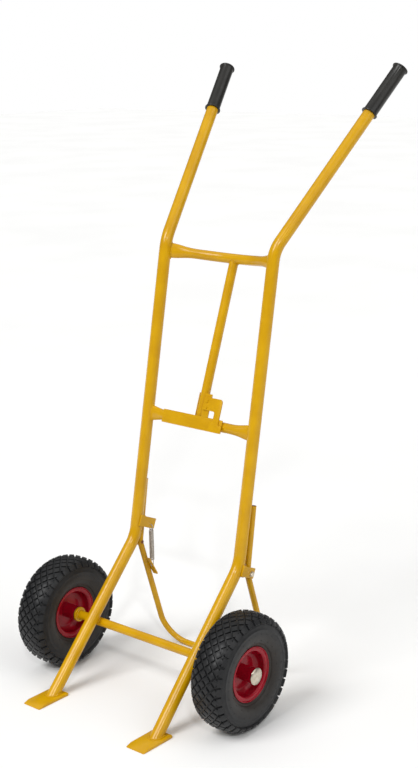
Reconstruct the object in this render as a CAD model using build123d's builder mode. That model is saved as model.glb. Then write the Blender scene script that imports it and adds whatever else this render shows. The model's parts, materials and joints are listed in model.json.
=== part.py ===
from build123d import *
import os
from math import atan2, cos, degrees, hypot, radians, sin, tan

# Two-wheeled steel hand truck for drums: a bent tube frame with two toe plates, a rim
# catch that slides on a centre guide tube, and a sprung rear stand that folds forward.
# Millimetres. +X is across the truck, -Y is the load side, +Z is up. The origin is on
# the floor, in the middle of the truck's length and width.

os.makedirs("parts", exist_ok=True)

# ---- Driving dimensions ---------------------------------------------------------

# Wheels and axle
wheel_radius = 130.0
wheel_x = 264.5
tyre_half_width = 40.0
axle_y = -200.0
axle_radius = 10.0
axle_half_length = 309.0
bush_clearance = 0.05
hub_radius = 17.0
hub_half_length = 39.0
bush_radius = 14.0
bush_length = 22.0

# Side tubes: leg, upright and handle in one bent tube
tube_radius = 14.0
tube_wall = 2.5
tube_bend = 80.0
frame_x = 157.0
leg_lean = 43.5
lower_bend_z = 302.0
upper_bend = (axle_y + 262.3, 989.4)
handle_top = (251.0, axle_y + 606.0, 1367.0)

# Toe plates
toe_width = 50.0
toe_thickness = 6.0
toe_front = axle_y - 220.0
toe_back = axle_y - 129.0
toe_bevel = 15.0
toe_edge = 1.5

# Cross members and centre guide tube
member_radius = 11.5
member_wall = 2.0
flare_height = 18.5
flare_thickness = 4.5
flare_length = 58.0
lower_member_z = 593.0
upper_member_z = 966.0
upper_bow = 63.0
upper_bow_tilt = 14.7
guide_radius = 10.65
guide_wall = 2.0

# Rear stand: one bent round bar
bar_radius = 7.0
arm_x = 162.75
pivot = (axle_y + 152.5, 280.0)
lever_top_z = 431.0
lever_gap = 20.8
stand_lean = 17.8
stand_corner = 65.0
pin_radius = 3.0
pin_clearance = 0.05

# Folded strips that carry the pivots and the spring
strip_tilt = 24.0
bracket_thickness = 4.0
strip_thickness = 3.0
anchor_hole = (-141.5, axle_y + 169.0, 322.0)
tab_hole = (-148.0, axle_y + 177.2, 213.5)
hook_hole_radius = 2.2
coil_radius = 5.8
wire_radius = 0.7

# Rim catch, in the guide tube's own directions
sleeve_gap = 0.35
sleeve_wall = 2.5
sleeve_bottom = 11.6
sleeve_top = 67.5
catch_thickness = 3.0
lip_ends = (-99.0, 75.5)

# Grips
grip_radius = 16.25
grip_length = 133.0
grip_rim_radius = 19.0
grip_rim = 3.0
grip_end = 3.0

# ---- Points worked out from them ------------------------------------------------

axle_z = wheel_radius

# The legs lie against the front of the axle, a hair clear of it.
leg_offset = tube_radius + axle_radius + 0.02
leg_sin = sin(radians(leg_lean))
leg_cos = cos(radians(leg_lean))


def leg_y(z):
    touch_y = axle_y - leg_offset * leg_cos
    touch_z = axle_z + leg_offset * leg_sin
    return touch_y + (z - touch_z) * leg_sin / leg_cos


lower_bend = (leg_y(lower_bend_z), lower_bend_z)
upright_slope = (upper_bend[0] - lower_bend[0]) / (upper_bend[1] - lower_bend[1])
upright_lean = degrees(atan2(upright_slope, 1))


def upright_y(z):
    return lower_bend[0] + (z - lower_bend[1]) * upright_slope


guide_foot = Vector(0, upright_y(lower_member_z), lower_member_z)
guide_head = Vector(
    0,
    upright_y(upper_member_z) + upper_bow * cos(radians(upper_bow_tilt)),
    upper_member_z - upper_bow * sin(radians(upper_bow_tilt)),
)
guide_dir = (guide_head - guide_foot).normalized()
guide_plane = Plane(origin=guide_foot, x_dir=(1, 0, 0), z_dir=guide_dir)

lever_top = (
    upright_y(lever_top_z) + lever_gap / cos(radians(upright_lean)),
    lever_top_z,
)
stand_foot = (
    pivot[0] + (pivot[1] - bar_radius) * tan(radians(stand_lean)),
    bar_radius,
)
bracket_x = frame_x + tube_radius + 0.05
tube_start_z = -20.0


# ---- Shapes that several sub-parts share ----------------------------------------


def swept_round(points, bends, outer_radius, inner_radius=0.0):
    # A round bar or tube along straight runs joined by tangent arcs.
    with BuildPart() as bar:
        with BuildLine() as centreline:
            FilletPolyline(*points, radius=bends)
        path = centreline.wire()
        with BuildSketch(Plane(origin=path @ 0, z_dir=path % 0)):
            Circle(outer_radius)
            if inner_radius:
                Circle(inner_radius, mode=Mode.SUBTRACT)
        sweep(path=path)
    return bar.part


def side_tube_points(side):
    return [
        (side * frame_x, leg_y(tube_start_z), tube_start_z),
        (side * frame_x, *lower_bend),
        (side * frame_x, *upper_bend),
        (side * handle_top[0], handle_top[1], handle_top[2]),
    ]


def flattened_member(z, bow, tilt, shrink):
    # A round tube between the uprights, squashed to a tall oval at each end. It bows
    # backward by bow along a parabola, in a plane tilted down by tilt degrees.
    back = Vector(0, cos(radians(tilt)), -sin(radians(tilt)))
    up = Vector(0, sin(radians(tilt)), cos(radians(tilt)))
    stations = 17
    with BuildPart() as member:
        for i in range(stations):
            across = 2 * i / (stations - 1) - 1
            origin = Vector(across * frame_x, upright_y(z), z) + back * (bow * (1 - across**2))
            tangent = Vector(frame_x, 0, 0) + back * (-2 * bow * across)
            ease = min(1.0, (1 - abs(across)) * frame_x / flare_length)
            ease = ease * ease * (3 - 2 * ease)
            height = flare_height + (member_radius - flare_height) * ease
            thickness = flare_thickness + (member_radius - flare_thickness) * ease
            with BuildSketch(Plane(origin=origin, x_dir=up, z_dir=tangent)):
                Ellipse(height + 0.01 - shrink, thickness - shrink)
        loft()
    return member.part


def write(part, name):
    part.label = name
    export_step(part, f"parts/{name}.step")


# ---- Frame ----------------------------------------------------------------------

handle_dir = (Vector(*handle_top) - Vector(frame_x, *upper_bend)).normalized()
tube_envelopes = []

for side, name in ((-1, "left"), (1, "right")):
    points = side_tube_points(side)
    direction = Vector(side * handle_dir.X, handle_dir.Y, handle_dir.Z)
    points[-1] = tuple(Vector(*points[-1]) - direction * grip_end)
    tube_envelopes.append(swept_round(points, tube_bend, tube_radius))

    with BuildPart() as side_tube:
        add(swept_round(points, tube_bend, tube_radius, tube_radius - tube_wall))
        split(bisect_by=Plane.XY.offset(toe_thickness), keep=Keep.TOP)
    write(side_tube.part, f"{name}_side_tube")

    # Closed rubber grip with a raised rim at each end.
    grip_plane = Plane(
        origin=Vector(side * handle_top[0], handle_top[1], handle_top[2]) - direction * grip_length,
        z_dir=direction,
    )
    with BuildPart() as grip:
        with BuildSketch(grip_plane):
            Circle(grip_radius)
        extrude(amount=grip_length)
        with BuildSketch(grip_plane, grip_plane.offset(grip_length - grip_rim)):
            Circle(grip_rim_radius)
        extrude(amount=grip_rim)
        fillet(grip.edges().filter_by(GeomType.CIRCLE).sort_by(Axis(grip_plane.origin, direction))[-1], 1.5)
        with BuildSketch(grip_plane):
            Circle(tube_radius)
        extrude(amount=grip_length - grip_end, mode=Mode.SUBTRACT)
    write(grip.part, f"{name}_grip")

    # Flat toe plate with a bevelled front edge, welded under the leg.
    with BuildPart() as toe_plate:
        with BuildSketch(Plane.YZ.offset(side * frame_x - toe_width / 2)):
            with BuildLine():
                Polyline(
                    (toe_front, 0),
                    (toe_front, toe_edge),
                    (toe_front + toe_bevel, toe_thickness),
                    (toe_back, toe_thickness),
                    (toe_back, 0),
                    close=True,
                )
            make_face()
        extrude(amount=toe_width)
        fillet(toe_plate.edges().filter_by(Axis.Z), 2.0)
    write(toe_plate.part, f"{name}_toe_plate")

lower_envelope = flattened_member(lower_member_z, 0.0, upright_lean, 0.0)
upper_envelope = flattened_member(upper_member_z, upper_bow, upper_bow_tilt, 0.0)

with BuildPart() as lower_cross_member:
    add(lower_envelope)
    add(flattened_member(lower_member_z, 0.0, upright_lean, member_wall), mode=Mode.SUBTRACT)
    add(tube_envelopes, mode=Mode.SUBTRACT)
write(lower_cross_member.part, "lower_cross_member")

with BuildPart() as upper_cross_member:
    add(upper_envelope)
    add(
        flattened_member(upper_member_z, upper_bow, upper_bow_tilt, member_wall),
        mode=Mode.SUBTRACT,
    )
    add(tube_envelopes, mode=Mode.SUBTRACT)
write(upper_cross_member.part, "upper_cross_member")

with BuildPart() as centre_guide_tube:
    with BuildSketch(guide_plane):
        Circle(guide_radius)
        Circle(guide_radius - guide_wall, mode=Mode.SUBTRACT)
    extrude(amount=(guide_head - guide_foot).length)
    add([lower_envelope, upper_envelope], mode=Mode.SUBTRACT)
write(centre_guide_tube.part, "centre_guide_tube")

with BuildPart() as axle:
    with BuildSketch(Plane.YZ.offset(-axle_half_length)):
        with Locations((axle_y, axle_z)):
            Circle(axle_radius)
    extrude(amount=2 * axle_half_length)
    chamfer(axle.edges().filter_by(GeomType.CIRCLE), 1.0)
write(axle.part, "axle")

# Collars welded to the axle inboard of the wheels, with loose washers beside each hub.
hub_inner_x = wheel_x - hub_half_length
hub_outer_x = wheel_x + hub_half_length
washer_thickness = 2.0
washer_gap = 0.3
collar_radius = 17.0
collar_width = 6.0
collar_x = hub_inner_x - washer_gap - washer_thickness - collar_width
cap_x = hub_outer_x + washer_gap + washer_thickness

with BuildPart() as axle_collars:
    for start in (collar_x, -collar_x - collar_width):
        with BuildSketch(Plane.YZ.offset(start)):
            with Locations((axle_y, axle_z)):
                Circle(collar_radius)
                Circle(axle_radius, mode=Mode.SUBTRACT)
        extrude(amount=collar_width)
write(axle_collars.part, "axle_collars")

with BuildPart() as axle_washers:
    for start in (
        collar_x + collar_width,
        cap_x - washer_thickness,
        -collar_x - collar_width - washer_thickness,
        -cap_x,
    ):
        with BuildSketch(Plane.YZ.offset(start)):
            with Locations((axle_y, axle_z)):
                Circle(hub_radius - 0.5)
                Circle(axle_radius, mode=Mode.SUBTRACT)
        extrude(amount=washer_thickness)
write(axle_washers.part, "axle_washers")

# ---- Wheels, bushes and caps ----------------------------------------------------

seat_radius = 50.8
sheet = 2.0
flange_x = 26.0
lip = (28.6, 60.0)
cap_radius = 19.0
cap_rise = 6.6
cap_sheet = 1.2
dome_radius = (cap_radius**2 + cap_rise**2) / (2 * cap_rise)
valve_radius = 4.0
valve_x = 10.5
valve_root = 63.0
valve_turn = 36.0

for side, name in ((-1, "left"), (1, "right")):
    # Local x points outboard, local y radially up, from the wheel's centre.
    centre = Vector(side * wheel_x, axle_y, axle_z)
    wheel_plane = Plane(origin=centre, x_dir=(side, 0, 0), z_dir=(0, 0, side))
    spin_axis = Axis(centre, (1, 0, 0))

    # Steel tyre seats on two pressed dishes that meet at the centre plane.
    rim_halves = []
    for face in (1, -1):
        with BuildPart() as rim_half:
            with BuildSketch(wheel_plane):
                with BuildLine() as sheet_line:
                    FilletPolyline(
                        (face * sheet / 2, hub_radius - 3),
                        (face * sheet / 2, seat_radius - sheet / 2),
                        (face * flange_x, seat_radius - sheet / 2),
                        (face * flange_x, lip[1] - 1.5),
                        (face * lip[0], lip[1]),
                        radius=[14.0, 4.0, 1.4],
                    )
                    offset(amount=sheet / 2, side=Side.BOTH)
                make_face()
                with Locations((0, 0)):
                    Rectangle(4 * sheet, 2 * hub_radius, mode=Mode.SUBTRACT)
            revolve(axis=spin_axis)
        rim_halves.append(rim_half.part)

    # The valve leaves the rim on the -X side of both wheels and bends outward.
    valve_face = -side
    stem_points = [
        wheel_plane.from_local_coords((valve_face * valve_x, -valve_root, 0)),
        wheel_plane.from_local_coords((valve_face * valve_x, -valve_turn, 0)),
        wheel_plane.from_local_coords((valve_face * (valve_x + 22), -valve_turn + 6, 0)),
    ]
    with BuildPart() as valve_stem:
        add(swept_round(stem_points, 6.0, valve_radius, 1.0))
    write(valve_stem.part, f"{name}_valve_stem")
    stem_envelope = swept_round(stem_points, 6.0, valve_radius + 0.1)

    for face, rim_part in zip((1, -1), rim_halves):
        where = "outer" if face == 1 else "inner"
        with BuildPart() as rim_half:
            add(rim_part)
            if face == valve_face:
                add(stem_envelope, mode=Mode.SUBTRACT)
        write(rim_half.part, f"{name}_{where}_rim_half")

    with BuildPart() as hub_tube:
        with BuildSketch(Plane.YZ.offset(side * wheel_x - hub_half_length)):
            with Locations((axle_y, axle_z)):
                Circle(hub_radius)
                Circle(bush_radius, mode=Mode.SUBTRACT)
        extrude(amount=2 * hub_half_length)
    write(hub_tube.part, f"{name}_hub_tube")

    with BuildPart() as hub_bushes:
        for start in (-hub_half_length, hub_half_length - bush_length):
            with BuildSketch(Plane.YZ.offset(side * wheel_x + start)):
                with Locations((axle_y, axle_z)):
                    Circle(bush_radius)
                    Circle(axle_radius + bush_clearance, mode=Mode.SUBTRACT)
            extrude(amount=bush_length)
    write(hub_bushes.part, f"{name}_hub_bushes")

    # Tyre: outer wall from bead to bead, then the inside of the casing.
    bead_x = flange_x - sheet / 2 - 0.1
    with BuildPart() as tyre:
        with BuildSketch(wheel_plane):
            with BuildLine():
                FilletPolyline(
                    (bead_x, seat_radius),
                    (bead_x, 60.0),
                    (31.0, 65.0),
                    (tyre_half_width + 0.8, 84.0),
                    (tyre_half_width - 1.0, 118.0),
                    (22.0, wheel_radius),
                    (-22.0, wheel_radius),
                    (1.0 - tyre_half_width, 118.0),
                    (-tyre_half_width - 0.8, 84.0),
                    (-31.0, 65.0),
                    (-bead_x, 60.0),
                    (-bead_x, seat_radius),
                    (-15.0, seat_radius),
                    (-22.5, 63.0),
                    (-35.5, 86.0),
                    (-32.0, 113.0),
                    (-18.0, 121.0),
                    (18.0, 121.0),
                    (32.0, 113.0),
                    (35.5, 86.0),
                    (22.5, 63.0),
                    (15.0, seat_radius),
                    radius=[6, 1, 4, 20, 14, 18, 18, 14, 20, 4, 1, 6, 1, 4, 16, 10, 14, 14, 10, 16, 4, 1],
                    close=True,
                )
            make_face()
        revolve(axis=spin_axis)
    write(tyre.part, f"{name}_tyre")

    # Inner tube, blown up against the casing, holed where the valve joins it.
    with BuildPart() as inner_tube:
        with BuildSketch(wheel_plane):
            with Locations((0, 90.0)):
                RectangleRounded(60.0, 56.0, 22.0)
                RectangleRounded(57.0, 53.0, 20.5, mode=Mode.SUBTRACT)
        revolve(axis=spin_axis)
        add(stem_envelope, mode=Mode.SUBTRACT)
    write(inner_tube.part, f"{name}_inner_tube")

# Push-on caps: a shallow hollow dome over each end of the axle.
cap_face = Plane(origin=(-cap_x, axle_y, axle_z), z_dir=(-1, 0, 0))
dome_centre = cap_face.origin + cap_face.z_dir * (cap_rise - dome_radius)
with BuildPart() as dome_inside:
    with Locations(dome_centre):
        Sphere(dome_radius - cap_sheet)
    split(bisect_by=cap_face.offset(cap_sheet), keep=Keep.TOP)
with BuildPart() as left_axle_cap:
    with Locations(dome_centre):
        Sphere(dome_radius)
    split(bisect_by=cap_face, keep=Keep.TOP)
    add(dome_inside.part, mode=Mode.SUBTRACT)
    with BuildSketch(cap_face):
        Circle(axle_radius)
    extrude(amount=cap_sheet, mode=Mode.SUBTRACT)
write(left_axle_cap.part, "left_axle_cap")
with BuildPart() as right_axle_cap:
    mirror(left_axle_cap.part, about=Plane.YZ)
write(right_axle_cap.part, "right_axle_cap")

# ---- Rear stand -----------------------------------------------------------------

stand_points = [
    (-arm_x, *lever_top),
    (-arm_x, *pivot),
    (-arm_x, *stand_foot),
    (arm_x, *stand_foot),
    (arm_x, *pivot),
    (arm_x, *lever_top),
]
stand_envelope = swept_round(stand_points, [30, stand_corner, stand_corner, 30], bar_radius)

with BuildPart() as stand_bar:
    add(stand_envelope)
    with BuildSketch(Plane.YZ.offset(-arm_x - 2 * bar_radius)):
        with Locations(pivot):
            Circle(pin_radius + pin_clearance)
    extrude(amount=2 * (arm_x + 2 * bar_radius), mode=Mode.SUBTRACT)
write(stand_bar.part, "stand_bar")


def strip(x, centre, length, width, tilt, thickness):
    # A flat strip on edge along the truck, dropping toward the rear by tilt degrees.
    with BuildPart() as plate:
        with BuildSketch(Plane.YZ.offset(x)):
            with Locations(Location(Vector(*centre, 0), -tilt)):
                RectangleRounded(length, width, 1.5)
        extrude(amount=thickness)
    return plate.part


def pierce(part_x, centre, radius, thickness):
    # A round hole through a strip, along X.
    with BuildPart() as hole:
        with BuildSketch(Plane.YZ.offset(part_x - 1)):
            with Locations(centre):
                Circle(radius)
        extrude(amount=thickness + 2)
    return hole.part


# Pivot brackets, welded to the outer face of each lower bend.
bracket_length = 44.0
bracket_width = 24.0
bracket_centre = (pivot[0] - 10.2, pivot[1] + 6.7)
for side, name in ((-1, "left"), (1, "right")):
    start = bracket_x if side > 0 else -bracket_x - bracket_thickness
    with BuildPart() as stand_bracket:
        add(strip(start, bracket_centre, bracket_length, bracket_width, strip_tilt, bracket_thickness))
        add(pierce(start, pivot, pin_radius + 0.1, bracket_thickness), mode=Mode.SUBTRACT)
    write(stand_bracket.part, f"{name}_stand_bracket")

# Pivot pins: hexagon head outside the bracket, peened end inside the arm.
head_height = 4.0
pin_end_x = arm_x - bar_radius - 1.2
with BuildPart() as stand_pivot_pins:
    for side in (-1, 1):
        head_x = bracket_x + bracket_thickness
        head_start = head_x if side > 0 else -head_x - head_height
        with BuildSketch(Plane.YZ.offset(head_start)):
            with Locations(pivot):
                RegularPolygon(5.0, 6, major_radius=False)
        extrude(amount=head_height)
        shank_start = pin_end_x if side > 0 else -head_x
        with BuildSketch(Plane.YZ.offset(shank_start)):
            with Locations(pivot):
                Circle(pin_radius)
        extrude(amount=head_x - pin_end_x)
        peen_start = pin_end_x if side > 0 else -pin_end_x - 1.0
        with BuildSketch(Plane.YZ.offset(peen_start)):
            with Locations(pivot):
                Circle(pin_radius + 1.0)
        extrude(amount=1.0)
write(stand_pivot_pins.part, "stand_pivot_pins")

with BuildPart() as stand_pivot_washers:
    for start in (bracket_x - 1.0, -bracket_x):
        with BuildSketch(Plane.YZ.offset(start)):
            with Locations(pivot):
                Circle(6.5)
                Circle(pin_radius, mode=Mode.SUBTRACT)
        extrude(amount=1.0)
write(stand_pivot_washers.part, "stand_pivot_washers")

# Spring anchor on the left upright's inner face, and the spring's tab on the left arm.
anchor_centre = (anchor_hole[1] - 12.1, anchor_hole[2] + 9.6)
anchor_start = anchor_hole[0] - strip_thickness / 2
with BuildPart() as spring_anchor_plate:
    add(strip(anchor_start, anchor_centre, 54.0, 25.0, strip_tilt, strip_thickness))
    add(pierce(anchor_start, anchor_hole[1:], hook_hole_radius, strip_thickness), mode=Mode.SUBTRACT)
    add(tube_envelopes[0], mode=Mode.SUBTRACT)
write(spring_anchor_plate.part, "spring_anchor_plate")

# The tab's face looks rearward and up, and its outer edge is welded to the arm.
tab_lean = 30.0
tab_normal = Vector(0, cos(radians(tab_lean)), sin(radians(tab_lean)))
tab_plane = Plane(origin=Vector(*tab_hole), x_dir=(1, 0, 0), z_dir=tab_normal)
tab_outer = -9.0
tab_inner = 5.0
tab_length = 54.0
with BuildPart() as spring_tab:
    with BuildSketch(tab_plane.offset(-strip_thickness / 2)):
        with Locations(((tab_outer + tab_inner) / 2, 0)):
            RectangleRounded(tab_inner - tab_outer, tab_length, 1.5)
        Circle(hook_hole_radius, mode=Mode.SUBTRACT)
    extrude(amount=strip_thickness)
    add(stand_envelope, mode=Mode.SUBTRACT)
write(spring_tab.part, "spring_tab")

# Tension spring: the close-wound body as a tube, with a wire at each end that reaches
# through its plate.
spring_top = Vector(*anchor_hole)
spring_foot = Vector(*tab_hole)
spring_dir = (spring_foot - spring_top).normalized()
spring_length = (spring_foot - spring_top).length
coil_start = 14.0
coil_end = spring_length - 17.0
coil_wall = 2.0
hook_side = coil_radius - coil_wall / 2
hook_reach = 4.5
sideways = Vector(1, 0, 0)
rearward = Vector(0, 1, 0)
with BuildPart() as stand_spring:
    with BuildSketch(Plane(origin=spring_top + spring_dir * coil_start, z_dir=spring_dir)):
        Circle(coil_radius)
        Circle(coil_radius - coil_wall, mode=Mode.SUBTRACT)
    extrude(amount=coil_end - coil_start)
    top_hook = [
        spring_top + spring_dir * (coil_start + 2) + sideways * hook_side,
        spring_top + sideways * hook_side,
        spring_top - sideways * (hook_reach - 1),
    ]
    foot_hook = [
        spring_top + spring_dir * (coil_end - 2) + rearward * hook_side,
        spring_foot + tab_normal * hook_reach,
        spring_foot - tab_normal * hook_reach,
    ]
    add(swept_round(top_hook, 1.5, wire_radius))
    add(swept_round(foot_hook, 1.5, wire_radius))
write(stand_spring.part, "stand_spring")

# ---- Rim catch ------------------------------------------------------------------

# Local x is across the truck, and local y of the guide plane is toward the rear.
wrap = guide_radius + sleeve_gap + sleeve_wall / 2
flange_y = -wrap - sleeve_wall / 2
flange_end = 30.0
strap_end = -4.0

# Plate in front of the flange: tab, neck and foot, folded a little forward at the
# right. Local x is across and local y runs up the guide tube.
front = Plane(
    origin=guide_foot + guide_plane.y_dir * (flange_y - sleeve_wall / 2),
    x_dir=(1, 0, 0),
    z_dir=-guide_plane.y_dir,
)
tab_top = 59.7
tab_bottom = 30.0
tab_left = 14.0
tab_right = 66.5
neck_left = 50.0
foot_left = 41.0
foot_right = 77.0
foot_top = 8.0
foot_step = 1.0
foot_bottom = -16.0
rivet_spots = ((23.5, 36.0), (23.5, 50.5))
rivet_radius = 2.0
with BuildPart() as catch_plate:
    with BuildSketch(front):
        with BuildLine():
            FilletPolyline(
                (tab_left, tab_bottom),
                (neck_left, tab_bottom),
                (neck_left, foot_top),
                (foot_left, foot_top),
                (foot_left, foot_bottom),
                (foot_right, foot_bottom),
                (foot_right, foot_step),
                (tab_right, foot_step),
                (tab_right, tab_top),
                (tab_left, tab_top),
                radius=[1, 4, 3, 1, 1, 1, 1, 2, 8, 2],
                close=True,
            )
        make_face()
        with Locations(*rivet_spots):
            Circle(rivet_radius, mode=Mode.SUBTRACT)
    extrude(amount=catch_thickness)
write(catch_plate.part, "catch_plate")

# Rivets through the plate and the flange, with a low head on each side.
with BuildPart() as catch_rivets:
    with BuildSketch(front.offset(-sleeve_wall - 1.2)):
        with Locations(*rivet_spots):
            Circle(rivet_radius)
    extrude(amount=sleeve_wall + catch_thickness + 2.4)
    with BuildSketch(front.offset(catch_thickness), front.offset(-sleeve_wall - 1.2)):
        with Locations(*rivet_spots):
            Circle(rivet_radius + 1.5)
    extrude(amount=1.2)
write(catch_rivets.part, "catch_rivets")

# Lip: the straight bar behind the foot that hooks over a drum's rim.
lip_thickness = 2.8
lip_bottom = -16.0
lip_top = 14.5
with BuildPart() as catch_lip:
    with BuildSketch(front.offset(-lip_thickness)):
        with Locations((sum(lip_ends) / 2, (lip_bottom + lip_top) / 2)):
            RectangleRounded(lip_ends[1] - lip_ends[0], lip_top - lip_bottom, 2.0)
    extrude(amount=lip_thickness)
write(catch_lip.part, "catch_lip")

# Sleeve: a folded strap round the back of the guide tube, with a flange that carries
# the catch plate. It is notched over the lip that it is welded to.
with BuildPart() as catch_sleeve:
    with BuildSketch(guide_plane.offset(sleeve_bottom)):
        with BuildLine():
            FilletPolyline(
                (-wrap, strap_end),
                (-wrap, wrap),
                (wrap, wrap),
                (wrap, flange_y),
                (flange_end, flange_y),
                radius=[3.0, 3.0, 2.0],
            )
            offset(amount=sleeve_wall / 2, side=Side.BOTH)
        make_face()
    extrude(amount=sleeve_top - sleeve_bottom)
    add(catch_lip.part, mode=Mode.SUBTRACT)
    with BuildSketch(front):
        with Locations(*rivet_spots):
            Circle(rivet_radius)
    extrude(amount=-sleeve_wall, mode=Mode.SUBTRACT)
write(catch_sleeve.part, "catch_sleeve")

print("upright lean", round(upright_lean, 2))
print("guide lean", round(degrees(atan2(guide_dir.Y, guide_dir.Z)), 2))
print("rear of grips", round(handle_top[1] + grip_rim_radius * hypot(handle_dir.X, handle_dir.Z), 1))
print("spring length", round(spring_length, 1))
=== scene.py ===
import json
from math import atan2, cos, pi, radians, sin, sqrt

import bpy
from mathutils import Matrix, Vector

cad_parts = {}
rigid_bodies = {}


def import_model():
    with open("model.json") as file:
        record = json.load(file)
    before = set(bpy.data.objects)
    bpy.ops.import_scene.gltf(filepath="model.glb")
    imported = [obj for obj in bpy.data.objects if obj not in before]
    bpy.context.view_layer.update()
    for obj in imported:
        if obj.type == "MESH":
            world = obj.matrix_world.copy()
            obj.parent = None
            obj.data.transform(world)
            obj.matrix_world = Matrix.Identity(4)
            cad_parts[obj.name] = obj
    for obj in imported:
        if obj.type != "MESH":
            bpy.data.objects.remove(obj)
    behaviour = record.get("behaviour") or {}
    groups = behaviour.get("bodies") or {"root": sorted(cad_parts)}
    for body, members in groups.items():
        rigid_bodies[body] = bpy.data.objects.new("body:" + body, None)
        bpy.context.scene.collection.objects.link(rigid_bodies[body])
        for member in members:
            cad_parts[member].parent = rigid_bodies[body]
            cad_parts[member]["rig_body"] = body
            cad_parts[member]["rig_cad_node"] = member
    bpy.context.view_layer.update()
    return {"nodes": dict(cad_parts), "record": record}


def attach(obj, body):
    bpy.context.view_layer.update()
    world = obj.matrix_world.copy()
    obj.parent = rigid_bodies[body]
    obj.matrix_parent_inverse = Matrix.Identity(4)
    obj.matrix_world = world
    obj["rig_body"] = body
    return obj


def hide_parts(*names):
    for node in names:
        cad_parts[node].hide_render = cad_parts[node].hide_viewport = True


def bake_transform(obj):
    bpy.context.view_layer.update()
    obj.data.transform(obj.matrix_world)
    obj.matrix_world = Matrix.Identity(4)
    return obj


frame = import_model()
nodes = frame["nodes"]
mm = 0.001
for spare in ("Cube", "Light", "Camera"):
    if spare in bpy.data.objects and spare not in nodes:
        bpy.data.objects.remove(bpy.data.objects[spare])
bpy.ops.object.select_all(action="DESELECT")
print("frame loaded:", len(nodes), "nodes")


def activate(piece):
    bpy.ops.object.select_all(action="DESELECT")
    piece.select_set(True)
    bpy.context.view_layer.objects.active = piece


def applyModifier(piece, kind, settings):
    activate(piece)
    bpy.ops.object.modifier_add(type=kind)
    modifier = piece.modifiers[-1]
    for key, value in settings.items():
        setattr(modifier, key, value)
    bpy.ops.object.modifier_apply(modifier=modifier.name)


def joinPieces(parts, name):
    activate(parts[0])
    for part in parts:
        part.select_set(True)
    bpy.ops.object.join()
    parts[0].name = name
    return parts[0]


def repeatPiece(pattern, places, name):
    # copies of one modelled shape, each with its own mesh, joined into one piece
    copies = []
    for place in places:
        copy = bpy.data.objects.new(name, pattern.data.copy())
        copy.data.transform(place)
        bpy.context.scene.collection.objects.link(copy)
        copies.append(copy)
    bpy.data.objects.remove(pattern)
    return joinPieces(copies, name)


def turnTo(direction, start):
    # takes +X to the direction, and the origin to the start
    turn = Vector((1, 0, 0)).rotation_difference(direction).to_matrix().to_4x4()
    return Matrix.Translation(start) @ turn


def settle(piece, material, body, replaced=(), sharp=35):
    activate(piece)
    bpy.ops.object.shade_smooth_by_angle(angle=radians(sharp))
    piece.data.materials.clear()
    piece.data.materials.append(material)
    if body:
        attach(piece, body)
    if replaced:
        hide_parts(*replaced)


def spunPiece(name, outline, centre, steps):
    # outline points are (along the axle, out from it) in mm, walked by extruding one vertex
    bpy.ops.mesh.primitive_plane_add(size=mm)
    piece = bpy.context.object
    piece.name = name
    bpy.ops.object.mode_set(mode="EDIT")
    bpy.ops.mesh.select_all(action="SELECT")
    bpy.ops.mesh.merge(type="CENTER")
    here = Vector((0, 0, 0))
    for number, (along, out) in enumerate(outline):
        there = Vector(centre) + Vector((along, 0, out)) * mm
        if number == 0:
            bpy.ops.transform.translate(value=there - here)
        else:
            bpy.ops.mesh.extrude_region_move(TRANSFORM_OT_translate={"value": there - here})
        here = there
    bpy.ops.mesh.select_all(action="SELECT")
    bpy.ops.mesh.spin(steps=steps, angle=2 * pi, center=centre, axis=(1, 0, 0))
    bpy.ops.mesh.select_all(action="SELECT")
    bpy.ops.mesh.remove_doubles(threshold=0.01 * mm)
    bpy.ops.mesh.normals_make_consistent(inside=False)
    bpy.ops.object.mode_set(mode="OBJECT")
    return piece


def softenedCopy(node, material, body, width):
    # the CAD shape with its hard edges rounded, as paint and stamping leave them
    activate(nodes[node])
    bpy.ops.object.duplicate()
    piece = bpy.context.object
    piece.name = node + "_soft"
    piece.parent = None
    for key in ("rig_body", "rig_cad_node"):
        if key in piece:
            del piece[key]
    bpy.ops.mesh.customdata_custom_splitnormals_clear()
    bpy.ops.object.mode_set(mode="EDIT")
    bpy.ops.mesh.select_all(action="SELECT")
    bpy.ops.mesh.remove_doubles(threshold=0.02 * mm)
    bpy.ops.mesh.dissolve_limited(angle_limit=radians(0.5))
    bpy.ops.object.mode_set(mode="OBJECT")
    applyModifier(piece, "BEVEL", {"width": width * mm, "segments": 2, "angle_limit": radians(38)})
    settle(piece, material, body, (node,))
    return piece


def toLinear(hexCode):
    parts = [int(hexCode[i:i + 2], 16) / 255 for i in (1, 3, 5)]
    return tuple(c / 12.92 if c <= 0.04045 else ((c + 0.055) / 1.055) ** 2.4 for c in parts) + (1.0,)


def addNode(tree, kind, settings, links):
    node = tree.nodes.new(kind)
    for key, value in settings.items():
        if isinstance(key, int) or key in node.inputs:
            node.inputs[key].default_value = value
        else:
            setattr(node, key, value)
    for key, socket in links.items():
        tree.links.new(socket, node.inputs[key])
    return node


def newMaterial(name):
    material = bpy.data.materials.new(name)
    material.use_nodes = True
    tree = material.node_tree
    shader = tree.nodes["Principled BSDF"]
    place = addNode(tree, "ShaderNodeTexCoord", {}, {}).outputs["Object"]
    return material, tree, shader, place


mixFactor, mixLow, mixHigh, mixResult = 0, 6, 7, 2  # a colour Mix node's sockets


def mottle(tree, place, size, detail, low, high):
    # a soft mix between two colours, in patches of about the given size in mm
    patches = addNode(tree, "ShaderNodeTexNoise", {"Scale": 1000 / size, "Detail": detail}, {"Vector": place})
    spread = addNode(tree, "ShaderNodeMapRange", {"From Min": 0.35, "From Max": 0.65},
                     {"Value": patches.outputs["Fac"]})
    mix = addNode(tree, "ShaderNodeMix", {"data_type": "RGBA", mixLow: toLinear(low), mixHigh: toLinear(high)},
                  {mixFactor: spread.outputs["Result"]})
    return mix.outputs[mixResult]


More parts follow.
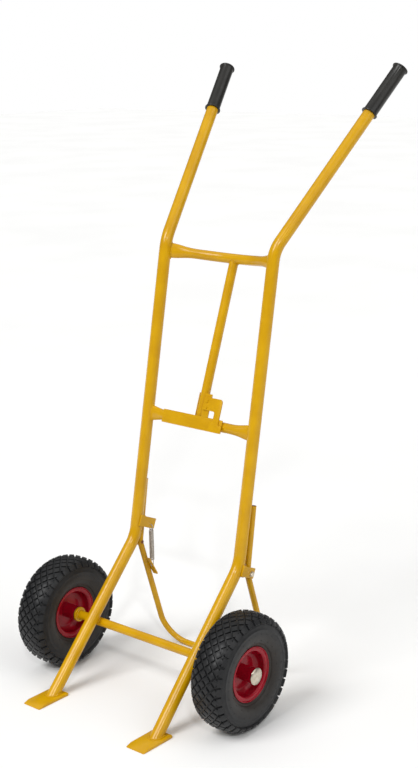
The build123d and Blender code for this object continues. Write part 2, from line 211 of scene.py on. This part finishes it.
def roughen(tree, place, shader, size, depth, low, high):
    # surface grain of the given size and depth in mm, and gloss that varies over wider patches
    grain = addNode(tree, "ShaderNodeTexNoise", {"Scale": 1000 / size, "Detail": 3.0}, {"Vector": place})
    bump = addNode(tree, "ShaderNodeBump", {"Strength": 1.0, "Distance": depth * mm},
                   {"Height": grain.outputs["Fac"]})
    tree.links.new(bump.outputs["Normal"], shader.inputs["Normal"])
    gloss = addNode(tree, "ShaderNodeTexNoise", {"Scale": 30.0, "Detail": 2.0}, {"Vector": place})
    spread = addNode(tree, "ShaderNodeMapRange", {"To Min": low, "To Max": high},
                     {"Value": gloss.outputs["Fac"]})
    tree.links.new(spread.outputs["Result"], shader.inputs["Roughness"])


# Polyester powder coat, sprayed and baked: an even golden yellow with a slight orange peel.
powderCoat, tree, shader, place = newMaterial("yellowPowderCoat")
colour = mottle(tree, place, 45.0, 3.0, "#C59303", "#CF9E04")
tree.links.new(colour, shader.inputs["Base Color"])
roughen(tree, place, shader, 2.2, 0.012, 0.18, 0.30)  # orange peel is about 2 mm across
shader.inputs["Specular IOR Level"].default_value = 0.28
shader.inputs["Coat Weight"].default_value = 0.1
shader.inputs["Coat Roughness"].default_value = 0.12

# Stoved enamel on pressed steel: deep glossy red with a few flow ripples.
redEnamel, tree, shader, place = newMaterial("redStoveEnamel")
colour = mottle(tree, place, 30.0, 2.0, "#860718", "#9B0D22")
tree.links.new(colour, shader.inputs["Base Color"])
roughen(tree, place, shader, 5.0, 0.03, 0.10, 0.18)
shader.inputs["Specular IOR Level"].default_value = 0.2
shader.inputs["Coat Weight"].default_value = 0.05
shader.inputs["Coat Roughness"].default_value = 0.08

# Vulcanised rubber: matt black, with a faint brown painted sheen toward the rim, a painted reflection.
tyreRubber, tree, shader, place = newMaterial("vulcanisedRubber")
colour = mottle(tree, place, 12.0, 4.0, "#17181A", "#212122")
fromAxle = addNode(tree, "ShaderNodeMapping", {"Location": (0.0, 0.2, -0.13), "Scale": (0.0, 1.0, 1.0)},
                   {"Vector": place})
outward = addNode(tree, "ShaderNodeVectorMath", {"operation": "LENGTH"}, {"Vector": fromAxle.outputs["Vector"]})
# painted sheen: a brown tint mixed in near the rim, fading out by 98 mm from the axle
paintedRimSheen = addNode(tree, "ShaderNodeMapRange",
                {"From Min": 0.058, "From Max": 0.098, "To Min": 0.75, "To Max": 0.0},
                {"Value": outward.outputs["Value"]})
rimSheenTinted = addNode(tree, "ShaderNodeMix", {"data_type": "RGBA", mixHigh: toLinear("#352E27")},
                 {mixFactor: paintedRimSheen.outputs["Result"], mixLow: colour})
tree.links.new(rimSheenTinted.outputs[mixResult], shader.inputs["Base Color"])
roughen(tree, place, shader, 1.5, 0.03, 0.36, 0.52)
shader.inputs["Specular IOR Level"].default_value = 0.3

# Moulded PVC grip: near-black and satin, nearly smooth.
gripRubber, tree, shader, place = newMaterial("mouldedGripPvc")
colour = mottle(tree, place, 18.0, 3.0, "#1C1B19", "#242320")
tree.links.new(colour, shader.inputs["Base Color"])
roughen(tree, place, shader, 1.2, 0.005, 0.26, 0.34)
shader.inputs["Specular IOR Level"].default_value = 0.35

# Bright zinc plate: pale grey metal with a slightly warm passivation.
zincPlate, tree, shader, place = newMaterial("brightZincPlate")
colour = mottle(tree, place, 8.0, 3.0, "#BDB3A1", "#D2CABA")
tree.links.new(colour, shader.inputs["Base Color"])
roughen(tree, place, shader, 1.0, 0.01, 0.22, 0.38)
shader.inputs["Metallic"].default_value = 1.0

# Drawn spring wire: pale, slightly warm steel with a soft sheen.
springWire, tree, shader, place = newMaterial("drawnSpringWire")
colour = mottle(tree, place, 3.0, 2.0, "#A89E92", "#CFC6BA")
tree.links.new(colour, shader.inputs["Base Color"])
roughen(tree, place, shader, 0.8, 0.01, 0.30, 0.45)
shader.inputs["Metallic"].default_value = 0.9

# Rubber pips left by the vents of the tyre mould: painted darker than the sidewall, as painted shade for the
# dark dots that shading of the small bumps alone would not give.
pipShadeRubber, tree, shader, place = newMaterial("mouldPipShadedRubber")
colour = mottle(tree, place, 6.0, 2.0, "#060606", "#0B0B0B")
tree.links.new(colour, shader.inputs["Base Color"])
roughen(tree, place, shader, 1.0, 0.01, 0.45, 0.60)

# Sawn or peened bar end with no paint: dull steel in a dark brown, the brown its own tone and the darkness
# partly painted shade of the end.
shadedBareCut, tree, shader, place = newMaterial("shadedBareSawnSteel")
colour = mottle(tree, place, 2.5, 4.0, "#6B3A22", "#94603F")
tree.links.new(colour, shader.inputs["Base Color"])
roughen(tree, place, shader, 0.6, 0.05, 0.55, 0.75)
shader.inputs["Metallic"].default_value = 0.4

slotMaterials = {
    "yellow_powder_coat": powderCoat,
    "grip_rubber": gripRubber,
    "zinc_plated_steel": zincPlate,
    "spring_steel": springWire,
    "red_enamel": redEnamel,
    "tyre_rubber": tyreRubber,
    "bush_steel": zincPlate,
    "valve_brass": gripRubber,
}
for entry in frame["record"]["subparts"]:
    cadNode = nodes[entry["node"]]
    cadNode.data.materials.clear()
    cadNode.data.materials.append(slotMaterials[entry["material_slot"]])
print("materials made")

softEdges = {  # node: (body, edge radius in mm)
    "left_toe_plate": ("frame", 0.7),
    "right_toe_plate": ("frame", 0.7),
    "left_stand_bracket": ("frame", 0.6),
    "right_stand_bracket": ("frame", 0.6),
    "spring_anchor_plate": ("frame", 0.5),
    "spring_tab": ("stand", 0.5),
    "catch_plate": ("catch", 0.5),
    "catch_lip": ("catch", 0.5),
    "catch_sleeve": ("catch", 0.45),
    "axle_collars": ("frame", 1.2),
}
for node, (body, width) in softEdges.items():
    softenedCopy(node, powderCoat, body, width)
print("plate edges softened")

axleLine = Vector((0, -200, 130)) * mm
wheelX = 264.5 * mm

tyreSize = {
    "outline": [  # outside from bead to bead, then the inside of the casing
        (24.9, 50.9), (25.0, 56.5), (26.6, 60.6), (29.0, 62.9), (30.6, 64.6), (31.2, 66.6), (33.2, 67.2),
        (35.0, 69.4), (37.4, 73.6), (39.0, 78.0), (40.0, 83.0), (40.6, 88.0), (40.7, 93.0), (40.3, 98.0),
        (40.6, 99.0), (40.4, 100.6), (39.6, 101.6), (38.9, 106.0), (37.2, 111.5), (34.4, 116.6),
        (30.4, 120.2), (25.6, 122.9), (20.0, 124.6), (13.0, 125.6), (6.0, 126.0), (0.0, 126.1),
    ],
    "inside": [
        (15.0, 50.9), (22.5, 63.0), (33.0, 76.0), (35.5, 90.0), (32.5, 110.0), (26.0, 117.5), (14.0, 121.5),
    ],
    "steps": 120,
}
tread = {
    "pitches": 35,  # knobs round one row
    "knobHeight": 3.5,
    "sunk": 0.9,  # how far a knob's foot lies inside the casing
    "rows": [  # across, out from the axle, lean, half width, half length, pitches on, turn about itself
        (0.0, 126.1, 0.0, 8.2, 9.1, 0.0, 0),
        (10.5, 125.8, 4.0, 8.2, 9.1, 0.5, 0),
        (20.3, 124.5, 15.0, 8.1, 9.0, 0.0, 0),
        (28.4, 121.5, 31.0, 7.7, 8.8, 0.5, 0),
        (34.2, 116.4, 52.0, 8.2, 12.7, 0.5, 45),  # square shoulder blocks
    ],
}
pips = {  # moulding pips in two rings on each sidewall
    "radius": 1.1,
    "rings": [(38.2, 75.6, 20), (40.7, 91.0, 28)],  # across, out from the axle, count
}


def treadKnob():
    # one diamond block of unit size: wide foot, slightly smaller bevelled top
    bpy.ops.mesh.primitive_cylinder_add(vertices=4, radius=1.0, depth=1.0, location=(0, 0, 0.5))
    knob = bpy.context.object
    bpy.ops.object.transform_apply(location=True, rotation=True, scale=True)
    for corner in knob.data.vertices:
        corner.select = corner.co.z > 0.5
    for edge in knob.data.edges:
        edge.select = all(knob.data.vertices[i].select for i in edge.vertices)
    for face in knob.data.polygons:
        face.select = face.normal.z > 0.9
    bpy.ops.object.mode_set(mode="EDIT")
    bpy.ops.transform.resize(value=(0.9, 0.9, 1.0), center_override=(0, 0, 1))
    bpy.ops.mesh.bevel(offset=0.08, segments=1)
    bpy.ops.object.mode_set(mode="OBJECT")
    return knob


def makeTyre(side, hand):
    name = hand + "Tyre"
    body = hand + "_wheel"
    centre = axleLine + Vector((side * wheelX, 0, 0))
    outside = tyreSize["outline"]
    inside = tyreSize["inside"]
    outline = outside + [(-x, r) for x, r in reversed(outside[:-1])]
    outline += [(-x, r) for x, r in inside] + [(x, r) for x, r in reversed(inside)] + outside[:1]
    pieces = [spunPiece(name + "_casing", outline, centre, tyreSize["steps"])]

    height = tread["knobHeight"] + tread["sunk"]
    for across, out, lean, halfWidth, halfLength, pitchesOn, square in tread["rows"]:
        for face in ((1,) if across == 0 else (1, -1)):
            places = []
            for number in range(tread["pitches"]):
                turn = 2 * pi * (number + pitchesOn) / tread["pitches"]
                places.append(
                    Matrix.Translation(centre)
                    @ Matrix.Rotation(turn, 4, "X")
                    @ Matrix.Translation(Vector((face * across, 0, out - tread["sunk"])) * mm)
                    @ Matrix.Rotation(radians(face * lean), 4, "Y")
                    @ Matrix.Diagonal((halfWidth * mm, halfLength * mm, height * mm, 1))
                    @ Matrix.Rotation(radians(square), 4, "Z")
                )
            pieces.append(repeatPiece(treadKnob(), places, name + "_row"))

    bpy.ops.mesh.primitive_ico_sphere_add(subdivisions=1, radius=pips["radius"] * mm)
    pip = bpy.context.object
    places = []
    for across, out, count in pips["rings"]:
        for face in (1, -1):
            for number in range(count):
                places.append(
                    Matrix.Translation(centre)
                    @ Matrix.Rotation(2 * pi * number / count, 4, "X")
                    @ Matrix.Translation(Vector((face * across, 0, out)) * mm)
                )
    settle(repeatPiece(pip, places, name + "Pips"), pipShadeRubber, body, (), 60)
    settle(joinPieces(pieces, name), tyreRubber, body, (hand + "_tyre",), 40)


makeTyre(-1, "left")
makeTyre(1, "right")
print("tyres made")

cap = {  # pressed push-on cap, out from the wheel along the axle, in mm
    "face": 305.8,
    "sheet": 1.0,
    "outline": [
        (0.0, 10.1), (0.0, 17.6), (0.2, 18.6), (0.8, 19.0), (1.5, 18.9), (2.2, 18.0), (3.2, 16.0),
        (4.3, 13.2), (5.3, 9.8), (6.1, 5.8), (6.5, 2.6), (6.6, 0.0),
    ],
}
for side, name in ((-1, "left"), (1, "right")):
    outline = [(side * x, r) for x, r in cap["outline"]]
    dome = spunPiece(name + "CapDome", outline, axleLine + Vector((side * cap["face"] * mm, 0, 0)), 48)
    applyModifier(dome, "SOLIDIFY", {"thickness": cap["sheet"] * mm, "offset": -1.0})
    settle(dome, zincPlate, "frame", (name + "_axle_cap",), 50)

valveCap = {
    "radius": 4.6,
    "ribs": 10,
    "groove": 0.9,  # how much closer in the surface lies between two ribs
    "wall": 0.5,
    "ribbed": (1.0, 6.0),
    "outline": [(0.0, 3.9), (0.0, 4.5), (1.0, 4.6), (5.6, 4.6), (6.6, 3.6), (7.0, 0.0)],
    "tip": (-32.0, -30.2, 0.0),  # end of the valve stem, from the wheel's centre
    "direction": (-22, 6, 0),
}
for side, name in ((-1, "left"), (1, "right")):
    tip = axleLine + Vector((side * wheelX, 0, 0)) + Vector(valveCap["tip"]) * mm
    shell = spunPiece(name + "ValveCap", valveCap["outline"], Vector((0, 0, 0)), 2 * valveCap["ribs"])
    low, high = valveCap["ribbed"]
    for corner in shell.data.vertices:  # every other step stands proud, as a rib
        angle = atan2(corner.co.y, corner.co.z)
        if low * mm < corner.co.x < high * mm and round(angle * valveCap["ribs"] / pi) % 2:
            corner.co.yz = corner.co.yz * valveCap["groove"]
    applyModifier(shell, "SOLIDIFY", {"thickness": valveCap["wall"] * mm, "offset": -1.0})
    shell.data.transform(turnTo(Vector(valveCap["direction"]).normalized(), tip))
    settle(shell, gripRubber, name + "_wheel")
print("caps made")

grip = {
    "bend": (157.0, 62.3, 989.4),
    "top": (251.0, 406.0, 1367.0),
    "length": 133.0,
    "outline": [  # from the middle of the closed end, over the outside, and back up the bore
        (132.0, 0.0), (132.0, 9.5), (133.0, 10.5), (133.0, 18.0), (132.7, 18.7), (132.0, 19.0), (131.0, 19.0),
        (130.2, 18.7), (129.8, 18.0), (129.2, 16.7), (127.6, 16.3), (90.0, 16.2), (43.0, 16.2), (5.6, 16.3),
        (3.9, 16.7), (3.3, 18.0), (2.9, 18.7), (2.1, 19.0), (1.0, 19.0), (0.3, 18.7), (0.0, 18.0), (0.0, 14.1),
        (129.5, 14.1), (129.5, 0.0),
    ],
}
for side, name in ((-1, "left"), (1, "right")):
    bend = Vector((side * grip["bend"][0], *grip["bend"][1:])) * mm
    top = Vector((side * grip["top"][0], *grip["top"][1:])) * mm
    direction = (top - bend).normalized()
    sleeve = spunPiece(name + "HandGrip", grip["outline"], Vector((0, 0, 0)), 64)
    sleeve.data.transform(turnTo(direction, top - direction * grip["length"] * mm))
    settle(sleeve, gripRubber, "frame", (name + "_grip",))
print("grips made")

bolt = {  # outlines run along the bolt from under its head, in mm
    "place": (175.05, -47.5, 280.0),
    "head": 4.0,
    "flats": 10.0,
    "shank": [
        (4.3, 0.0), (4.25, 2.6), (4.0, 3.3), (3.8, 3.4), (-0.5, 3.4), (-0.5, 3.0), (-19.7, 3.0), (-19.7, 0.0),
    ],
    "flange": [(0.0, 3.0), (0.0, 6.3), (0.4, 6.5), (0.9, 6.3), (0.9, 3.0), (0.0, 3.0)],
    "peened": [(-19.3, 0.0), (-19.3, 3.9), (-19.7, 4.3), (-20.5, 3.9), (-21.2, 2.2), (-21.4, 0.0)],
}
for side, name in ((-1, "left"), (1, "right")):
    x, y, z = bolt["place"]
    atPivot = turnTo(Vector((side, 0, 0)), Vector((side * x, y, z)) * mm)
    bpy.ops.mesh.primitive_cylinder_add(vertices=6, radius=bolt["flats"] / sqrt(3) * mm,
                                        depth=bolt["head"] * mm)
    head = bpy.context.object
    applyModifier(head, "BEVEL", {"width": 0.5 * mm, "segments": 2, "angle_limit": radians(70)})
    head.data.transform(Matrix.Rotation(radians(90), 4, "Y"))
    head.data.transform(Matrix.Translation(Vector((bolt["head"] / 2, 0, 0)) * mm))
    shank = spunPiece(name + "BoltShank", bolt["shank"], Vector((0, 0, 0)), 24)
    flange = spunPiece(name + "BoltFlange", bolt["flange"], Vector((0, 0, 0)), 32)
    whole = joinPieces([head, shank, flange], name + "PivotBolt")
    whole.data.transform(atPivot)
    settle(whole, zincPlate, "frame", ("stand_pivot_pins",), 30)
    rivet = spunPiece(name + "PeenedEnd", bolt["peened"], Vector((0, 0, 0)), 24)
    rivet.data.transform(atPivot)
    settle(rivet, shadedBareCut, "frame")

spring = {
    "top": (-141.5, -31.0, 322.0),
    "foot": (-148.0, -22.8, 213.5),
    "coilStart": 14.0,
    "coilEnd": 92.0,
    "radius": 4.85,
    "wire": 0.9,
    "pitch": 2.6,
    "steps": 20,  # round one turn
    "hookRadius": 4.3,
    "topHook": (-0.4, 14.8),  # near and far ends, down the spring from its top
    "footHook": (91.4, 109.4),
}
springTop = Vector(spring["top"]) * mm
springFoot = Vector(spring["foot"]) * mm
springDown = (springFoot - springTop).normalized()
bpy.ops.mesh.primitive_circle_add(vertices=8, radius=spring["wire"] * mm, location=(0, 0, 0))
coil = bpy.context.object
bpy.ops.object.mode_set(mode="EDIT")
bpy.ops.mesh.select_all(action="SELECT")
bpy.ops.transform.rotate(value=radians(90), orient_axis="X", center_override=(0, 0, 0))
bpy.ops.transform.translate(value=(spring["radius"] * mm, 0, 0))
bpy.ops.object.mode_set(mode="OBJECT")
turns = int((spring["coilEnd"] - spring["coilStart"]) / spring["pitch"])
applyModifier(coil, "SCREW", {"axis": "Z", "screw_offset": spring["pitch"] * mm, "iterations": turns,
                              "steps": spring["steps"], "render_steps": spring["steps"],
                              "use_merge_vertices": True})
bpy.ops.object.mode_set(mode="EDIT")
bpy.ops.mesh.select_all(action="SELECT")
bpy.ops.mesh.fill_holes(sides=0)
bpy.ops.mesh.select_all(action="SELECT")
bpy.ops.mesh.normals_make_consistent(inside=False)
bpy.ops.object.mode_set(mode="OBJECT")
coil.data.transform(Matrix.Rotation(radians(90), 4, "Y"))
coil.data.transform(turnTo(springDown, springTop + springDown * spring["coilStart"] * mm))


def springHook(across, near, far):
    # a stadium-shaped loop from near to far along the spring, opened across the given direction
    bpy.ops.mesh.primitive_torus_add(major_segments=36, minor_segments=8,
                                     major_radius=spring["hookRadius"] * mm, minor_radius=spring["wire"] * mm)
    loop = bpy.context.object
    stretch = (far - near) * mm / 2 - spring["hookRadius"] * mm
    for corner in loop.data.vertices:
        corner.co.x += stretch if corner.co.x > 0 else -stretch
    side = (across - springDown * across.dot(springDown)).normalized()
    turn = Matrix((springDown, side, springDown.cross(side))).transposed().to_4x4()
    loop.data.transform(Matrix.Translation(springTop + springDown * (near + far) * mm / 2) @ turn)
    return loop


tabLean = radians(30)
tabNormal = Vector((0, cos(tabLean), sin(tabLean)))
hooks = [springHook(Vector((1, 0, 0)), *spring["topHook"]), springHook(tabNormal, *spring["footHook"])]
standSpring = joinPieces([coil] + hooks, "closeWoundSpring")
settle(standSpring, springWire, None, ("stand_spring",), 60)  # it bends between bodies
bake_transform(standSpring)

lever = {
    "x": 162.75,
    "foot": (-47.5, 280.0),
    "top": (-23.67, 431.0),
    "sawn": [(0.25, 0.0), (0.25, 5.9), (0.1, 6.6), (-0.3, 6.6), (-0.3, 0.0)],
}
(footY, footZ), (topY, topZ) = lever["foot"], lever["top"]
leverDirection = Vector((0, topY - footY, topZ - footZ)).normalized()
for side, name in ((-1, "left"), (1, "right")):
    sawn = spunPiece(name + "SawnEnd", lever["sawn"], Vector((0, 0, 0)), 24)
    sawn.data.transform(turnTo(leverDirection, Vector((side * lever["x"], topY, topZ)) * mm))
    settle(sawn, shadedBareCut, "stand")
print("stand made")

tube = {"x": 157.0, "radius": 14.0, "lean": 43.5, "bendZ": 302.0, "upperBend": (62.3, 989.4)}
axle = {"y": -200.0, "z": 130.0, "radius": 10.0}
member = {  # cross members: height, tilt and bow, and the half height and thickness of a flattened end
    "lower": (593, 10.9, 0.0),
    "upper": (966, 14.7, 63.0),
    "end": (18.8, 5.2),
}
legSin = sin(radians(tube["lean"]))
legCos = cos(radians(tube["lean"]))


def legY(z):
    apart = tube["radius"] + axle["radius"] + 0.02
    return axle["y"] - apart * legCos + (z - axle["z"] - apart * legSin) * legSin / legCos


uprightSlope = (tube["upperBend"][0] - legY(tube["bendZ"])) / (tube["upperBend"][1] - tube["bendZ"])
uprightNormal = Vector((0, 1, -uprightSlope)).normalized()


def uprightY(z):
    return legY(tube["bendZ"]) + (z - tube["bendZ"]) * uprightSlope


def ringPoints(make, count=48):
    return [make(2 * pi * number / count) for number in range(count + 1)]


def memberEnd(side, z, tilt, bow):
    # where a flattened member end meets the round upright
    back = Vector((0, cos(radians(tilt)), -sin(radians(tilt))))
    up = Vector((0, sin(radians(tilt)), cos(radians(tilt))))
    origin = Vector((0, uprightY(z), z))
    halfHeight, halfThickness = member["end"]

    def point(angle):
        near, far = 0.0, 40.0  # halved in turn, in from the upright's centre line
        for step in range(24):
            middle = (near + far) / 2
            setBack = bow * (1 - (1 - middle / tube["x"]) ** 2)
            offset = up * (halfHeight * cos(angle)) + back * (setBack + halfThickness * sin(angle))
            if middle ** 2 + offset.dot(uprightNormal) ** 2 > (tube["radius"] + 0.3) ** 2:
                far = middle
            else:
                near = middle
        return origin + offset + Vector((side * (tube["x"] - near), 0, 0))

    return ringPoints(point)


def dabsAlong(points, size):
    # overlapping dabs along a path, each turned from the last, as a hand-laid bead shows
    places = []
    left = 0.0
    for start, end in zip(points, points[1:]):
        run = end - start
        while left < run.length:
            spot = start + run * (left / run.length)
            places.append(turnTo(run.normalized(), spot * mm)
                          @ Matrix.Rotation(0.7 * len(places), 4, "X")
                          @ Matrix.Diagonal((size * 0.8 * mm, size * mm, size * 0.9 * mm, 1)))
            left += size * 0.85
        left -= run.length
    return places


def weldPiece(runs, name, body):
    bpy.ops.mesh.primitive_ico_sphere_add(subdivisions=2, radius=1.0)
    dab = bpy.context.object
    places = []
    for points, size in runs:
        places += dabsAlong(points, size)
    bead = repeatPiece(dab, places, name)
    settle(bead, powderCoat, body, (), 60)


weldSize = {  # radius of the bead's dabs in mm
    "toe": 2.1, "axle": 2.6, "member": 1.6, "collarIn": 2.4, "collarOut": 1.5, "strip": 1.6, "guide": 1.5,
    "tab": 1.5, "lip": 1.1,
}
toeRing = (14.9, 20.4, 6.6)  # half width and half length of the bead round a leg's foot, and its height
axleSpot = (8.6, 6.6)  # half width and half length where a leg touches the axle
collar = {"in": 216.9, "out": 223.5, "radius": 10.6}  # beads on each face of an axle collar
tabBead = {"place": (-156.3, -22.8, 213.5), "out": 1.7, "half": 24}
lipBead = {"up": 14.7, "forward": 13.4, "left": 13, "right": 28}
strips = {  # flat strips on edge: lean in degrees, then centre, half height, and bead ends along the strip
    "lean": 24,
    "bracket": ((170.6, -57.7, 286.7), 12.2, (-21, -9)),
    "anchor": ((-142.2, -43.1, 331.6), 12.7, (-26, -12)),
}
along = Vector((0, cos(radians(strips["lean"])), -sin(radians(strips["lean"]))))
rise = Vector((0, sin(radians(strips["lean"])), cos(radians(strips["lean"]))))


def stripEdges(middle, halfHeight, ends):
    # the strip's lower and upper edges, where they lie against the upright
    return [([middle + along * end + rise * hand * halfHeight for end in ends], weldSize["strip"])
            for hand in (-1, 1)]


def oval(centre, halfWide, way, halfLong, count=48):
    return ringPoints(lambda a: centre + Vector((halfWide * cos(a), 0, 0)) + way * (halfLong * sin(a)), count)


def collarRing(x):
    radius = collar["radius"]
    return ringPoints(lambda a: Vector((x, axle["y"] + radius * cos(a), axle["z"] + radius * sin(a))), 32)


legWay = Vector((0, legSin, legCos))
legFront = Vector((0, -legCos, legSin))
plateTop = 6.0
runs = []
for side in (-1, 1):
    halfWide, halfLong, height = toeRing
    foot = Vector((side * tube["x"], legY(plateTop), height))
    runs.append((oval(foot, halfWide, Vector((0, 1, 0)), halfLong), weldSize["toe"]))
    halfWide, halfLong = axleSpot
    touch = Vector((side * tube["x"], axle["y"], axle["z"])) + legFront * axle["radius"]
    runs.append((oval(touch, halfWide, legWay, halfLong, 24), weldSize["axle"]))
    runs.append((memberEnd(side, *member["lower"]), weldSize["member"]))
    runs.append((memberEnd(side, *member["upper"]), weldSize["member"]))
    runs.append((collarRing(side * collar["in"]), weldSize["collarIn"]))
    runs.append((collarRing(side * collar["out"]), weldSize["collarOut"]))
    (x, y, z), halfHeight, ends = strips["bracket"]
    runs += stripEdges(Vector((side * x, y, z)), halfHeight, ends)
centre, halfHeight, ends = strips["anchor"]
runs += stripEdges(Vector(centre), halfHeight, ends)

lowerZ = member["lower"][0]
upperZ, upperTilt, bow = member["upper"]
guide = {"weld": 11.1, "memberWeld": 12.1}  # radii of the ring round the guide tube and round a member
guideFoot = Vector((0, uprightY(lowerZ), lowerZ))
bowed = Vector((0, cos(radians(upperTilt)), -sin(radians(upperTilt)))) * bow
guideHead = Vector((0, uprightY(upperZ), upperZ)) + bowed
guideUp = (guideHead - guideFoot).normalized()
guideBack = Vector((0, guideUp.z, -guideUp.y))


def guideRing(end, hand):
    # round the guide tube's end, where it is shaped to sit on the member's round side
    def point(angle):
        back = guide["weld"] * sin(angle)
        lift = sqrt(guide["memberWeld"] ** 2 - back ** 2)
        return end + Vector((guide["weld"] * cos(angle), 0, 0)) + guideBack * back + guideUp * hand * lift

    return ringPoints(point)


runs.append((guideRing(guideFoot, 1), weldSize["guide"]))
runs.append((guideRing(guideHead, -1), weldSize["guide"]))
weldPiece(runs, "frameWelds", "frame")

tabDown = Vector((0, sin(tabLean), -cos(tabLean)))
tabEdge = Vector(tabBead["place"]) + tabNormal * tabBead["out"]
tabRun = [tabEdge - tabDown * tabBead["half"], tabEdge + tabDown * tabBead["half"]]
weldPiece([(tabRun, weldSize["tab"])], "springTabWeld", "stand")

lipTop = guideFoot + guideUp * lipBead["up"] - guideBack * lipBead["forward"]
lipRun = [lipTop + Vector((lipBead[end], 0, 0)) for end in ("left", "right")]
weldPiece([(lipRun, weldSize["lip"])], "catchWeld", "catch")
print("welds made")

bpy.ops.mesh.primitive_plane_add(size=40, location=(0, 0, 0))
floor = bpy.context.object
floor.name = "studioFloor"
floorPaint, tree, shader, place = newMaterial("paleStudioFloor")
colour = mottle(tree, place, 900.0, 2.0, "#F1F1F0", "#F5F5F4")
tree.links.new(colour, shader.inputs["Base Color"])
shader.inputs["Roughness"].default_value = 0.9
floor.data.materials.append(floorPaint)

# A dim room round the truck keeps its colours deep, in front of a white backdrop.
world = bpy.data.worlds.new("studioWorld")
bpy.context.scene.world = world
world.use_nodes = True
room = world.node_tree.nodes["Background"]
seen = addNode(world.node_tree, "ShaderNodeLightPath", {}, {})
strength = addNode(world.node_tree, "ShaderNodeMapRange", {"To Min": 0.22, "To Max": 1.0},
                   {"Value": seen.outputs["Is Camera Ray"]})
room.inputs["Color"].default_value = (1.0, 1.0, 1.0, 1.0)
world.node_tree.links.new(strength.outputs["Result"], room.inputs["Strength"])

suns = {  # name: where the light comes from, strength, softness in degrees
    "keyLight": ((-0.3, -1.6, 1.7), 1.9, 28.0),
    "fillLight": ((1.3, 0.2, 0.9), 0.8, 50.0),
    "topLight": ((-0.1, 0.2, 1.0), 0.8, 80.0),
    "sparkLight": ((1.1, -1.1, 1.3), 0.5, 4.0),
}
for name, (source, power, softness) in suns.items():
    bpy.ops.object.light_add(type="SUN", location=Vector(source) * 3)
    lamp = bpy.context.object
    lamp.name = name
    lamp.data.energy = power
    lamp.data.angle = radians(softness)
    lamp.rotation_euler = Vector(source).to_track_quat("Z", "Y").to_euler()

view = {
    "place": (1.9640, -2.3013, 1.4343),
    "azimuth": 40.21,
    "elevation": 14.0,
    "roll": -0.81,
    "lens": 64.67,
    "sensor": 36.0,
}
azimuth, elevation, roll = (radians(view[key]) for key in ("azimuth", "elevation", "roll"))
backward = Vector((sin(azimuth) * cos(elevation), -cos(azimuth) * cos(elevation), sin(elevation)))
rightward = Vector((cos(azimuth), sin(azimuth), 0))
upward = backward.cross(rightward)
rolledRight = rightward * cos(roll) + upward * sin(roll)
rolledUp = upward * cos(roll) - rightward * sin(roll)
turn = Matrix((rolledRight, rolledUp, backward)).transposed()
bpy.ops.object.camera_add(location=view["place"])
camera = bpy.context.object
camera.name = "mainCamera"
camera.rotation_euler = turn.to_euler()
camera.data.lens = view["lens"]
camera.data.sensor_width = view["sensor"]
bpy.context.scene.camera = camera
bpy.context.scene.view_settings.view_transform = "Standard"
print("studio made")
